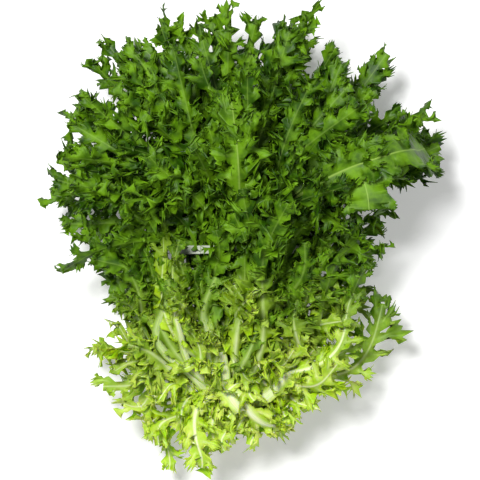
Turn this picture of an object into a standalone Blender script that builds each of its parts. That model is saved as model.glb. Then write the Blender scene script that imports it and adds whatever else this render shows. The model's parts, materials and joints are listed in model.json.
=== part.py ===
"""Curly endive (frisee): one head, tied at the waist and lying on its side.

Every leaf grows from one cut crown. The long leaves run along the head's axis (+Y), pass through
the tie and splay out past it like a fountain. The short outer leaves bend outwards before the tie
and form a skirt round the crown. The head lies on the surface z = 0.

Each leaf's middle line is drawn in a half plane through the axis, as a radius from the axis and a
place along it. Lines never cross in that half plane, because a leaf that starts further out always
turns further out, so no two leaves meet, however wide they are.
"""

import math

import bmesh
import bpy
from mathutils import Vector

MM = 0.001

# ---------------------------------------------------------------- driving dimensions, in metres
LONG_LEAVES = 32
SHORT_LEAVES = 24
LEAF_THICKNESS = 1.5 * MM
PETIOLE_HALF_WIDTH = 1.7 * MM  # of the narrowest, innermost leaf stalk
LONG_BLADE_HALF_WIDTH = 25 * MM
SHORT_BLADE_HALF_WIDTH = 17 * MM

CROWN_LENGTH = 27 * MM  # of the thick stub that the leaves grow from
CROWN_CUT_RADIUS = 15 * MM  # of its cut end
CROWN_BULGE = 2.5 * MM  # how far the crown swells past a straight cone
CROWN_EDGE = 2 * MM  # of its face, left bare outside the leaves
LEAF_GAP = 1 * MM  # between a leaf's foot and the crown's face

TIE_DISTANCE = 108 * MM  # from the crown's face to the middle of the tie
WAIST_RADIUS = 47 * MM  # of the bundle of long leaves inside the tie, to the outermost middle line
SPLAY_LENGTH = 172 * MM  # of an inner long leaf past the tie
OUTER_SHORTER = 0.32  # the share by which the outermost long leaf is shorter past the tie
SPLAY_BEND = 66 * MM  # a long leaf does most of its turning in this
LONGEST_SKIRT = 1.30 * TIE_DISTANCE  # the innermost short leaf
SHORTEST_SKIRT = 0.60 * TIE_DISTANCE  # and the outermost
LONGEST_SKIRT_BEND = 50 * MM  # an inner short leaf turns gently
SHORTEST_SKIRT_BEND = 24 * MM  # and the outermost sharply

TIE_WIDTH = 6 * MM
TIE_THICKNESS = 0.8 * MM
TIE_CLEARANCE = 1.5 * MM  # between the outermost stalks and the tie

CROWN_AXIS_HEIGHT = 31 * MM  # of the head's axis above the surface
TIE_AXIS_HEIGHT = 47 * MM
SPLAY_AXIS_HEIGHT = 66 * MM
SIDEWAYS_LEAN = 8 * MM  # the tie's middle lies this far to the +X side of the crown's

# The stalks are packed on the crown's face, so thicker leaves need a wider crown.
LONG_FOOT_RADIUS = 10 * LEAF_THICKNESS  # the long leaves' feet fill this much of the face
SHORT_FOOT_RADIUS = LONG_FOOT_RADIUS + 1.5 * LEAF_THICKNESS  # the short ones' stand from here
OUTER_FOOT_RADIUS = SHORT_FOOT_RADIUS + 5 * LEAF_THICKNESS  # to here
CROWN_RADIUS = OUTER_FOOT_RADIUS + CROWN_EDGE

# ---------------------------------------------------------------- growth, as angles and shares
GOLDEN_ANGLE = math.radians(137.508)  # between one leaf and the next round the crown
FIRST_LEAF_ANGLE = math.radians(31)
LONG_STALK_HALF_ANGLE = math.radians(9.2)  # half of what a stalk takes up round the axis
SHORT_STALK_HALF_ANGLE = math.radians(6.4)
WIDEST_HALF_ANGLE = math.radians(62)  # a heart leaf wraps no further than this round the axis
TOP_TURN = math.radians(122)  # how far the outermost long leaf turns from the axis, at the top
SIDE_TURN = math.radians(89)
BOTTOM_TURN = math.radians(54)  # the surface stops the lowest leaves from turning further
TURN_LEAN = math.radians(10)  # less of a turn on the +X side, and more on the other
DROOP = math.radians(20)  # what a long leaf goes on turning towards its tip
LEAST_SKIRT_TURN = math.radians(30)
MOST_SKIRT_TURN = math.radians(172)
INNER_SKIRT_LEAN = 0.09  # the share by which an inner short leaf is longer on the +X side
OUTER_SKIRT_LEAN = -0.25  # the outer ones are longer on the other side
SKIRT_SPREAD = 0.43  # the skirt opens underneath: its leaves crowd towards the sides and the top
FLATTENING = 210 * MM  # the larger this is, the rounder the head stands on its side
UNDERSIDE_FLATTENING = 0.80  # the head's own weight presses its underside by this

LONG_ROWS = 11  # of faces along a leaf
LONG_CROWDING = 0.80  # under 1 puts more of the rows past the tie, where the leaf bends
SHORT_ROWS = 8
BLADE_COLUMNS = 4  # of faces across a leaf
LINE_STEP = 1 * MM  # a middle line is walked in steps this long


def smooth(x):
    """0 below 0, 1 above 1, and an even S between."""
    x = min(1.0, max(0.0, x))
    return x * x * (3 - 2 * x)


def between(a, b, share):
    return a + (b - a) * share


# ---------------------------------------------------------------- the space round the axis
def lean(y):
    """How far the axis has moved sideways at y."""
    return SIDEWAYS_LEAN * (smooth(y / TIE_DISTANCE) - 1)


def axis_height(y):
    rise = between(CROWN_AXIS_HEIGHT, TIE_AXIS_HEIGHT, smooth(y / TIE_DISTANCE))
    past_tie = smooth((y - TIE_DISTANCE) / (SPLAY_LENGTH / 2))
    return rise + (SPLAY_AXIS_HEIGHT - TIE_AXIS_HEIGHT) * past_tie


def place(radius, angle, y):
    """The point at that radius and angle round the axis, flattened as the head lies."""
    up = math.sin(angle) * radius / (1 + radius / FLATTENING)
    if up < 0:
        pressed = smooth((y - TIE_DISTANCE) / (SPLAY_LENGTH / 3))
        up *= between(1.0, UNDERSIDE_FLATTENING, pressed)
    return Vector((lean(y) + math.cos(angle) * radius, y, axis_height(y) + up))


# ---------------------------------------------------------------- middle lines of the leaves
def opening(y):
    """How many times further from the axis a stalk is at y than where it started."""
    return between(1, WAIST_RADIUS / LONG_FOOT_RADIUS, smooth(y / TIE_DISTANCE))


def opening_heading(radius, y):
    """The angle at which the bundle of stalks opens at that radius and y."""
    ahead = y + LINE_STEP
    return math.atan2(radius * (opening(ahead) / opening(y) - 1), LINE_STEP)


def walk(radius, y, turn, droop, bend, length):
    """Points a step apart, from radius and y on, as the line turns away from the axis."""
    line = [(radius, y)]
    steps = round(length / LINE_STEP)
    for i in range(steps):
        gone = (i + 0.5) * length / steps
        heading = turn * smooth(gone / bend) + droop * (gone / SPLAY_LENGTH) ** 2
        heading += opening_heading(radius, y) * (1 - smooth(gone / bend))
        radius += math.sin(heading) * length / steps
        y += math.cos(heading) * length / steps
        line.append((radius, y))
    return line


def spaced(line, rows, crowding):
    """rows + 1 points of the line, crowded towards its tip where crowding is under 1."""
    last = len(line) - 1
    return [line[round(last * (i / rows) ** crowding)] for i in range(rows + 1)]


def turn_at(angle):
    """The outermost long leaf's turn, which depends on where it stands round the axis."""
    up = math.sin(angle)
    turn = between(SIDE_TURN, TOP_TURN if up > 0 else BOTTOM_TURN, up * up)
    return turn - TURN_LEAN * math.cos(angle)


def long_line(seed, share, angle, reach):
    """Through the tie and out. share is 0 for the innermost long leaf and 1 for the outermost."""
    steps = round(TIE_DISTANCE / LINE_STEP)
    line = []
    for i in range(steps):
        y = LEAF_GAP + (TIE_DISTANCE - LEAF_GAP) * i / steps
        line.append((seed * opening(y), y))
    turn = turn_at(angle) * (0.10 + 0.90 * share**1.15)
    waist = seed * opening(TIE_DISTANCE)
    return line + walk(waist, TIE_DISTANCE, turn, DROOP * share, SPLAY_BEND, reach)


def short_line(seed, share, reach):
    """Out before the tie. share is 0 for the innermost short leaf and 1 for the outermost."""
    turn = between(LEAST_SKIRT_TURN, MOST_SKIRT_TURN, share**1.1)
    bend = between(LONGEST_SKIRT_BEND, SHORTEST_SKIRT_BEND, share)
    return walk(seed, LEAF_GAP, turn, 0.0, bend, reach)


# ---------------------------------------------------------------- outline of a leaf
def blade_half_width(along, widest):
    """Half of the leaf's width at along, from 0 at its foot to 1 at its tip."""
    opening = smooth((along - 0.16) / 0.58)
    closing = math.sqrt(max(0.0, 1 - max(0.0, (along - 0.72) / 0.30) ** 2))
    return between(PETIOLE_HALF_WIDTH, widest, opening) * closing


def half_angle(along, radius, widest, stalk_half_angle):
    """How far each edge of the leaf stands round the axis from its middle line."""
    stalk = max(PETIOLE_HALF_WIDTH / radius, stalk_half_angle)
    blade = blade_half_width(along, widest) / radius
    wanted = between(stalk, blade, smooth((along - 0.16) / 0.3))
    return min(wanted, WIDEST_HALF_ANGLE)


# ---------------------------------------------------------------- Blender objects
def clear_scene():
    for old in list(bpy.data.objects):
        bpy.data.objects.remove(old)


def material(name, colour, roughness):
    made = bpy.data.materials.new(name)
    made.use_nodes = True
    shader = made.node_tree.nodes["Principled BSDF"]
    shader.inputs["Base Color"].default_value = (*colour, 1)
    shader.inputs["Roughness"].default_value = roughness
    shader.inputs["Metallic"].default_value = 0.0
    return made


def add(name, mesh_source, at, finish, head):
    """An object whose origin is at the point at, from a bmesh in the head's own frame."""
    mesh = bpy.data.meshes.new(name)
    bmesh.ops.translate(mesh_source, verts=mesh_source.verts, vec=-at)
    mesh_source.to_mesh(mesh)
    mesh_source.free()
    mesh.shade_smooth()
    mesh.materials.append(finish)
    made = bpy.data.objects.new(name, mesh)
    made.location = at
    made.parent = head
    bpy.data.collections["curly_endive"].objects.link(made)
    return made


def thicken(piece, thickness):
    shell = piece.modifiers.new("thickness", "SOLIDIFY")
    shell.thickness = thickness
    shell.offset = 0
    shell.use_even_offset = True
    shell.thickness_clamp = 0


def leaf(name, line_at, angle, shape, finish, head):
    """A sheet that follows its middle line and curves round the axis, with a thickness.

    line_at gives the middle line that a leaf at some angle round the axis would have.
    """
    rows, crowding, widest, stalk_half_angle = shape
    sheet = bmesh.new()
    bmesh.ops.create_grid(sheet, x_segments=BLADE_COLUMNS, y_segments=rows, size=1)
    stations = spaced(line_at(angle), rows, crowding)
    for vertex in sheet.verts:
        across, along = vertex.co.x, (vertex.co.y + 1) / 2
        row = round(along * rows)
        half = half_angle(along, stations[row][0], widest, stalk_half_angle)
        turned = angle + across * half
        radius, y = spaced(line_at(turned), rows, crowding)[row]
        vertex.co = place(radius, turned, y)
    foot = place(stations[0][0], angle, stations[0][1])
    made = add(name, sheet, foot, finish, head)
    thicken(made, LEAF_THICKNESS)
    return made


def crown(finish, head):
    """The thick base of the stem: a turned stub, cut off flat."""
    profile = bmesh.new()
    outline = [(0, 0), (CROWN_RADIUS, 0)]
    steps = 5
    for i in range(1, steps):
        share = i / steps
        swell = CROWN_BULGE * math.sin(math.pi * share)
        outline.append((between(CROWN_RADIUS, CROWN_CUT_RADIUS, share) + swell, -CROWN_LENGTH * share))
    outline += [(CROWN_CUT_RADIUS, -CROWN_LENGTH), (0, -CROWN_LENGTH)]
    points = [profile.verts.new((radius, 0, height)) for radius, height in outline]
    for a, b in zip(points, points[1:]):
        profile.edges.new((a, b))
    made = add("crown", profile, Vector(), finish, head)
    made.location = (lean(0), 0, CROWN_AXIS_HEIGHT)
    made.rotation_euler = (-math.pi / 2, 0, 0)
    turned = made.modifiers.new("turn", "SCREW")
    turned.steps = turned.render_steps = 28
    turned.use_merge_vertices = True
    turned.merge_threshold = 0.01 * MM
    return made


def tie(finish, head):
    """A flat band round the bundle of long leaves."""
    band = bmesh.new()
    bmesh.ops.create_cone(band, cap_ends=False, segments=44, radius1=1, radius2=1, depth=TIE_WIDTH)
    radius = WAIST_RADIUS + LEAF_THICKNESS / 2 + TIE_CLEARANCE + TIE_THICKNESS / 2
    for vertex in band.verts:
        angle = math.atan2(vertex.co.y, vertex.co.x)
        vertex.co = place(radius, angle, TIE_DISTANCE + vertex.co.z)
    made = add("tie_band", band, Vector(), finish, head)
    thicken(made, TIE_THICKNESS)
    return made


def long_leaf(i, finish, head):
    seed = LONG_FOOT_RADIUS * math.sqrt((i + 0.5) / LONG_LEAVES)
    share = seed / LONG_FOOT_RADIUS
    angle = FIRST_LEAF_ANGLE + i * GOLDEN_ANGLE
    reach = SPLAY_LENGTH * (1 - OUTER_SHORTER * share**2) * (1 + 0.05 * math.cos(angle))
    shape = (LONG_ROWS, LONG_CROWDING, LONG_BLADE_HALF_WIDTH, LONG_STALK_HALF_ANGLE)

    def line_at(turned):
        return long_line(seed, share, turned, reach)

    leaf(f"long_leaf_{i + 1:02d}", line_at, angle, shape, finish, head)


def short_leaf(i, finish, head):
    share = i / (SHORT_LEAVES - 1)
    seed = between(SHORT_FOOT_RADIUS, OUTER_FOOT_RADIUS, share)
    golden = FIRST_LEAF_ANGLE + (LONG_LEAVES + i) * GOLDEN_ANGLE
    from_top = (golden + math.pi / 2) % (2 * math.pi) - math.pi
    angle = math.pi / 2 + from_top * SKIRT_SPREAD
    reach = between(LONGEST_SKIRT, SHORTEST_SKIRT, smooth(share / 0.75))
    reach *= 1 + between(INNER_SKIRT_LEAN, OUTER_SKIRT_LEAN, share) * math.cos(angle)
    shape = (SHORT_ROWS, 1.0, SHORT_BLADE_HALF_WIDTH, SHORT_STALK_HALF_ANGLE)
    line = short_line(seed, share, reach)

    def line_at(turned):
        return line

    leaf(f"short_leaf_{i + 1:02d}", line_at, angle, shape, finish, head)


def build_leaves(head):
    green = material("leaf_green", (0.055, 0.150, 0.010), 0.55)
    pale = material("leaf_blanched", (0.390, 0.560, 0.080), 0.55)
    for i in range(LONG_LEAVES):
        long_leaf(i, green, head)
    for i in range(SHORT_LEAVES):
        short_leaf(i, pale, head)


def rest_on_origin(head):
    """Moves the head so that the middle of its box's underside is the origin."""
    bpy.context.view_layer.update()
    graph = bpy.context.evaluated_depsgraph_get()
    low, high = Vector((math.inf,) * 3), Vector((-math.inf,) * 3)
    for piece in head.children:
        evaluated = piece.evaluated_get(graph)
        for vertex in evaluated.data.vertices:
            point = evaluated.matrix_world @ vertex.co
            low = Vector(map(min, low, point))
            high = Vector(map(max, high, point))
    head.location = -Vector(((low.x + high.x) / 2, (low.y + high.y) / 2, low.z))
    return high - low


def main():
    clear_scene()
    parts = bpy.data.collections.new("curly_endive")
    bpy.context.scene.collection.children.link(parts)
    head = bpy.data.objects.new("head", None)
    parts.objects.link(head)
    crown(material("crown_white", (0.62, 0.60, 0.36), 0.6), head)
    tie(material("tie_white", (0.72, 0.70, 0.66), 0.5), head)
    build_leaves(head)
    size = rest_on_origin(head)
    print("head measures", [round(side, 4) for side in size])


main()
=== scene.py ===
# %% [markdown]
# # A head of curly endive
#
# Curly endive, or frisee, is a head of long leaves on one thick crown. Each leaf is a pale flat rib
# with many lobes, and every lobe ends in pointed teeth and curls its own way. That curl is what
# makes the head look like a mop. Here it lies on its side with a tie round its waist.
#
# The CAD model holds each leaf as a plain smooth sheet in the right place. This script reads the
# middle of each sheet, and grows a real leaf on it.

import json
import math

import bmesh
import bpy
import numpy as np
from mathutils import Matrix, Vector

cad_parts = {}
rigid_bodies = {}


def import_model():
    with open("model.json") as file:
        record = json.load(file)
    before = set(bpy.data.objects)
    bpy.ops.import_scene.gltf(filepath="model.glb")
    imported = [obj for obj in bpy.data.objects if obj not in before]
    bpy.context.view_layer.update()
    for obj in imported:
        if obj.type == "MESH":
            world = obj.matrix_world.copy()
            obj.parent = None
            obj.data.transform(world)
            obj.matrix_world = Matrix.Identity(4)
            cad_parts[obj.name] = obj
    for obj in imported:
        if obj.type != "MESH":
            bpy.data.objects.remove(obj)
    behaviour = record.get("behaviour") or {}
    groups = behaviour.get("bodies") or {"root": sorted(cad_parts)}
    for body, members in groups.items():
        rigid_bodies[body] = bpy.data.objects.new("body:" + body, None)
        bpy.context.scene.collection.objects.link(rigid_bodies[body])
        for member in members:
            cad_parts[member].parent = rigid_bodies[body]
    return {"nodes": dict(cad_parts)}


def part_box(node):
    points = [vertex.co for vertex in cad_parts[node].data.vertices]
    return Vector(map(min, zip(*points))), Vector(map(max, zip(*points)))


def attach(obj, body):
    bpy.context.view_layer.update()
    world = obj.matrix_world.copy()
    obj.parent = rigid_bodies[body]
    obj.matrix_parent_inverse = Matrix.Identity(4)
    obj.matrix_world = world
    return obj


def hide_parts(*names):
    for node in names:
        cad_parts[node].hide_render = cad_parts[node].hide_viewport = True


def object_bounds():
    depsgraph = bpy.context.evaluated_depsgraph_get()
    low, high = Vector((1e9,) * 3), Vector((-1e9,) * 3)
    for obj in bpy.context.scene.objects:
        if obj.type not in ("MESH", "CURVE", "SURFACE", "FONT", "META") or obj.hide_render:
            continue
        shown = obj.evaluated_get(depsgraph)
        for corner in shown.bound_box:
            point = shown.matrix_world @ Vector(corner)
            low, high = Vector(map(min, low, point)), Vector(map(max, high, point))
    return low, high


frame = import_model()
cad_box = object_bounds()

MM = 0.001
nodes = frame["nodes"]
long_nodes = sorted(name for name in nodes if name.startswith("long_leaf"))
short_nodes = sorted(name for name in nodes if name.startswith("short_leaf"))
print("long leaves", len(long_nodes), "short leaves", len(short_nodes))

# %% [markdown]
# ## Where things are
#
# The crown's face, where all leaves start, and the tie are measured on the CAD nodes, and all else
# is placed from them. The leaves' colour later follows the distance from the crown's face along
# +Y, because the heart of the head grows in the dark and stays pale.

# %% Measure the crown and the tie
crown_low, crown_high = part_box("crown")
crown_axis = (crown_low + crown_high) / 2
CROWN_FACE = np.array((crown_axis.x, crown_high.y, crown_axis.z))
CROWN_RADIUS = (crown_high.x - crown_low.x) / 2
tie_low, tie_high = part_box("tie_band")
TIE_MIDDLE = np.array((tie_low + tie_high) / 2)
print("crown face", CROWN_FACE.round(4), "tie", TIE_MIDDLE.round(4))

# %% [markdown]
# ## Small tools
#
# Two curves do most of the shaping: an even S between 0 and 1, and a blend between two values.
# The third tool draws a smooth curve through measured stations, as a flexible ruler would.


# %% Shaping curves
def smooth(x):
    """0 below 0, 1 above 1, and an even S between."""
    x = np.clip(x, 0.0, 1.0)
    return x * x * (3 - 2 * x)


def between(a, b, share):
    return a + (b - a) * share


def unit(vectors):
    return vectors / np.linalg.norm(vectors, axis=-1, keepdims=True)


def lengths_along(line):
    """How far each point of a line is from its first, along the line."""
    return np.concatenate(([0], np.cumsum(np.linalg.norm(np.diff(line, axis=0), axis=1))))


def through(stations, values, at):
    """The smooth curve that passes through values at stations, read at the lengths at."""
    slopes = np.gradient(values, stations, axis=0)
    i = np.clip(np.searchsorted(stations, at, side="right") - 1, 0, len(stations) - 2)
    span = (stations[i + 1] - stations[i])[:, None]
    x = (at - stations[i])[:, None] / span
    start, end = values[i], values[i + 1]
    rise, fall = slopes[i] * span, slopes[i + 1] * span
    return (
        (2 * x**3 - 3 * x**2 + 1) * start
        + (x**3 - 2 * x**2 + x) * rise
        + (3 * x**2 - 2 * x**3) * end
        + (x**3 - x**2) * fall
    )


# %% [markdown]
# ## Reading a CAD leaf
#
# A CAD leaf is a thin solid made of rows of corners, from its foot on the crown to its tip. The
# foot row is found by its place on the crown's face. The next row is whatever one edge leads to,
# and so on, which works however the leaf bends. Each row gives the middle of the leaf, the
# direction across it, and how much it is curved like a gutter.
#
# The frame's meshes are loose triangles, so a copy is merged first. The CAD node stays as it is.

# %% Rows of a CAD leaf
WELD = 0.01 * MM
FOOT_DEPTH = 5 * MM  # a foot row lies within this of the crown's face
FOOT_ROOM = 4 * MM  # and within this of the face's edge


def foot_row(corners):
    near = []
    for corner in corners:
        out = np.array(corner.co) - CROWN_FACE
        if abs(out[1]) < FOOT_DEPTH and math.hypot(out[0], out[2]) < CROWN_RADIUS + FOOT_ROOM:
            near.append(corner)
    return near


def leaf_rows(node):
    """The corners of each row of a CAD leaf, foot first."""
    copy = bmesh.new()
    copy.from_mesh(nodes[node].data)
    bmesh.ops.remove_doubles(copy, verts=copy.verts, dist=WELD)
    copy.verts.index_update()
    row = foot_row(copy.verts)
    found = {corner.index for corner in row}
    rows = []
    while row:
        rows.append(np.array([corner.co for corner in row]))
        after = {}
        for corner in row:
            for edge in corner.link_edges:
                other = edge.other_vert(corner)
                if other.index not in found:
                    after[other.index] = other
        row = [after[index] for index in sorted(after)]
        found.update(after)
    copy.free()
    return rows


def measure_row(corners, across_before):
    """Middle, direction across and gutter curvature of one row."""
    centre = corners.mean(axis=0)
    across = np.linalg.eigh(np.cov((corners - centre).T))[1][:, -1]
    if across @ across_before < 0:
        across = -across
    order = np.argsort((corners - centre) @ across)
    left = corners[order[:2]].mean(axis=0)
    right = corners[order[-2:]].mean(axis=0)
    middle = corners[order[4:-4]].mean(axis=0)
    half = np.linalg.norm(right - left) / 2
    sag = (left + right) / 2 - middle
    return middle, unit(right - left), 2 * sag / (half**2 + sag @ sag)


def read_leaf(node):
    """Arrays along a CAD leaf: middle, across, curvature and length from the foot."""
    rows = leaf_rows(node)
    out = rows[0].mean(axis=0) - CROWN_FACE
    across = unit(np.array((-out[2], 0.0, out[0])))
    measured = []
    for corners in rows:
        measured.append(measure_row(corners, across))
        across = measured[-1][1]
    middle, across, curvature = (np.array(column) for column in zip(*measured))
    return middle, across, curvature, lengths_along(middle)


CAD_LEAVES = {node: read_leaf(node) for node in long_nodes + short_nodes}


def longest(names):
    return round(max(CAD_LEAVES[name][-1][-1] for name in names) / MM, 1)


print("longest long leaf", longest(long_nodes), "mm, longest short leaf", longest(short_nodes), "mm")

# %% [markdown]
# ## The path that a leaf grows on
#
# A real leaf is not as regular as its CAD sheet: it sways a little, and past the tie it is limp
# enough to lie over on its flat side. The path carries three directions at every row: along the
# leaf, across it, and out, which is away from the heart of the head.

# %% The path of one leaf
LIE_FLAT_OVER = 70 * MM  # of length, in which a limp blade rolls towards the horizontal
SWAY = 6 * MM


def roll(across, out, turn):
    """Turns both directions round the leaf's own line."""
    turn = turn[:, None]
    rolled = np.cos(turn) * across + np.sin(turn) * out
    return rolled, np.cos(turn) * out - np.sin(turn) * across


def leaf_path(measured, at, limp_from, limpness, rng):
    """Middle, along, across and out at each length in at, and the gutter curvature."""
    middle, across, curvature, lengths = measured
    line = through(lengths, middle, at)
    along = unit(np.gradient(line, at, axis=0))
    across = through(lengths, across, at)
    across = unit(across - (across * along).sum(axis=1)[:, None] * along)
    out = np.cross(along, across)
    gutter = (through(lengths, curvature, at) * out).sum(axis=1)

    waves = at / at[-1] * math.tau
    ramp = smooth(at / at[-1] / 0.5)
    for direction in (across, out):
        phase, rate = rng.uniform(0, math.tau), rng.uniform(0.8, 1.9)
        size = SWAY * rng.uniform(0.4, 1.3)
        line = line + (size * ramp * np.sin(waves * rate + phase))[:, None] * direction
    along = unit(np.gradient(line, at, axis=0))
    across = unit(across - (across * along).sum(axis=1)[:, None] * along)
    out = np.cross(along, across)

    # The roll that brings the across direction level is where its height is nought.
    level = np.arctan2(-across[:, 2], out[:, 2])
    level = np.where(level > math.pi / 2, level - math.pi, level)
    level = np.where(level < -math.pi / 2, level + math.pi, level)
    limp = limpness * smooth((at - limp_from) / LIE_FLAT_OVER)
    turn = limp * np.median(level[at > limp_from]) + rng.normal(0, 0.4) * ramp
    across, out = roll(across, out, turn)
    return line, along, across, out, gutter


# %% [markdown]
# ## The outline of a leaf
#
# Seen flat, the leaf is a rib with a narrow wing on each side, and arms that grow out of the wing
# like the teeth of two combs that are out of step. An arm has a narrow neck, widens into a small
# fan, and ends in about six sharp teeth. Low on the rib the arms are short spikes.
#
# The sheet is a grid. Thirteen rows make one arm: tooth points and the valleys between them take
# turns, so each point gets a row of its own and comes out sharp. Between two arms the cells of the
# grid are deleted outside the wing, and that slit is what lets each arm curl its own way.

# %% Arms and teeth
ARM_ROWS = 13
ARM_SHIFT_ROWS = 2  # how far a slit may stray from its even place
NECK_TO_TIP = np.array([0.0, 0.17, 0.35, 0.53, 0.70, 0.86, 1.0])


def arms_of(rows, first, rng):
    """For each row, which arm it is in and its place in it, from -1 to 1."""
    starts = np.arange(first, rows - 4, ARM_ROWS)
    shifts = rng.integers(-ARM_SHIFT_ROWS, ARM_SHIFT_ROWS + 1, len(starts))
    starts = starts + np.where(starts > ARM_ROWS // 2, shifts, 0)
    starts = np.unique(np.concatenate(([0], starts)))
    which = np.searchsorted(starts, np.arange(rows), side="right") - 1
    ends = np.append(starts[1:], rows) - 1
    width = np.maximum(ends - starts, 1)[which]
    return which, 2 * (np.arange(rows) - starts[which]) / width - 1, starts[which]


def teeth(inside, rng):
    """1 on a tooth's point and less in the valleys, for rows counted from their arm's first."""
    points = inside % 2 == 1
    return np.where(points, rng.uniform(0.8, 1.06, len(inside)), rng.uniform(0.62, 0.76, len(inside)))


# %% [markdown]
# ## What kind of leaf
#
# The green outer leaves and the pale inner ones differ in a few numbers only: how much of the leaf
# is bare, how wide and thick the rib is, how wide the wing, and how long the arms and how close.

# %% Two kinds of leaf
LONG_LEAF = {
    "slot": "leaf_green",
    "bare": 0.26,  # the share of the leaf that is only rib
    "rib": 2.6 * MM,  # half of the rib's width at the foot
    "rib_tip": 0.5 * MM,
    "thick": 2.2 * MM,
    "wing": (1.0 * MM, 3.0 * MM),  # at the lowest arm and at the tip
    "arm": 20 * MM,
    "first_arm": 0.25,  # the lowest arm's length as a share of the longest
    "neck": (1.2 * MM, 2.8 * MM),
    "apart": 12 * MM,
    "curl": 1.45,
    "limp": 0.75,
    "at_tie": 0.4,  # how much of its length an arm keeps where the tie presses it
    "rib_shows": 0.8,  # how much paler than the blade the rib and the veins are
}
SHORT_LEAF = LONG_LEAF | {
    "slot": "leaf_blanched",
    "bare": 0.10,
    "rib": 3.8 * MM,
    "rib_tip": 0.7 * MM,
    "thick": 2.8 * MM,
    "wing": (0.8 * MM, 2.5 * MM),
    "arm": 18 * MM,
    "first_arm": 0.35,
    "neck": (1.1 * MM, 2.4 * MM),
    "apart": 11.5 * MM,
    "limp": 0.5,
    "rib_shows": 1.1,
}
BLADE = 0.35 * MM  # the thickness of the blade between the veins
STALK_ROWS = 8
LIMP_FROM = 0.4  # the share of the leaf from which it starts to lie over
ARM_SIZES = (0.75, 1.15)  # each leaf has its own, as a share of its kind's
ARM_REACHES = (0.7, 1.25)  # and each arm, as a share of its leaf's
ARM_FANS = (0.26, 0.42)  # half of a fan's width, as a share of the arm's length
TIE_PRESSES = 25 * MM  # how far from the tie it shortens the arms
VEIN_HALF_WIDTH = 0.9 * MM
RIB_ROUND_OFF = 1.15  # the rib thins out to nothing at this many half widths
RIB_TIP_THICKNESS = 0.12  # as a share of its thickness at the foot

# %% [markdown]
# ## Growing the sheet
#
# From the wing, each row walks out along its arm in six short steps. The walk turns forward or
# back within the leaf's plane, and up or down out of it, which curls the arm. The rows of an arm
# stand apart by its width: wide at the base, narrow at the neck and wide again in the fan. Every
# arm has its own lift, curl and twist, and every tooth adds a little, more and more towards its
# point. Each leaf has its own seed, so nothing changes from run to run.


# %% How an arm bends
# Angles are in radians. A stray is a standard deviation, and grows with the kind's curl unless it
# lies in the leaf's plane.
ARM_FORWARD = (0.35, 0.75)  # how far an arm leans to the tip, at the lowest one and the highest
FORWARD_STRAY = 0.26
TOP_ARMS = 0.82  # the arms past this share of the blade close the leaf's tip
TOP_FORWARD = 0.7  # so they lean forward by this too
BEND, BEND_STRAY = 0.1, 0.35  # of an arm on its way out, in the leaf's plane
LIFT, LIFT_STRAY = 0.15, 0.45  # of an arm where it starts, out of the leaf's plane
CURL_STRAY = 1.1  # on its way out
TOOTH_STRAY = 0.8
TWIST_STRAY = 0.9
FOLD, FOLD_STRAY = 0.15, 0.5  # a fan is folded like a gutter, in shares of its width
RAGGED = 0.24  # how much further out and in the steps of an arm's edge stand


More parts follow.
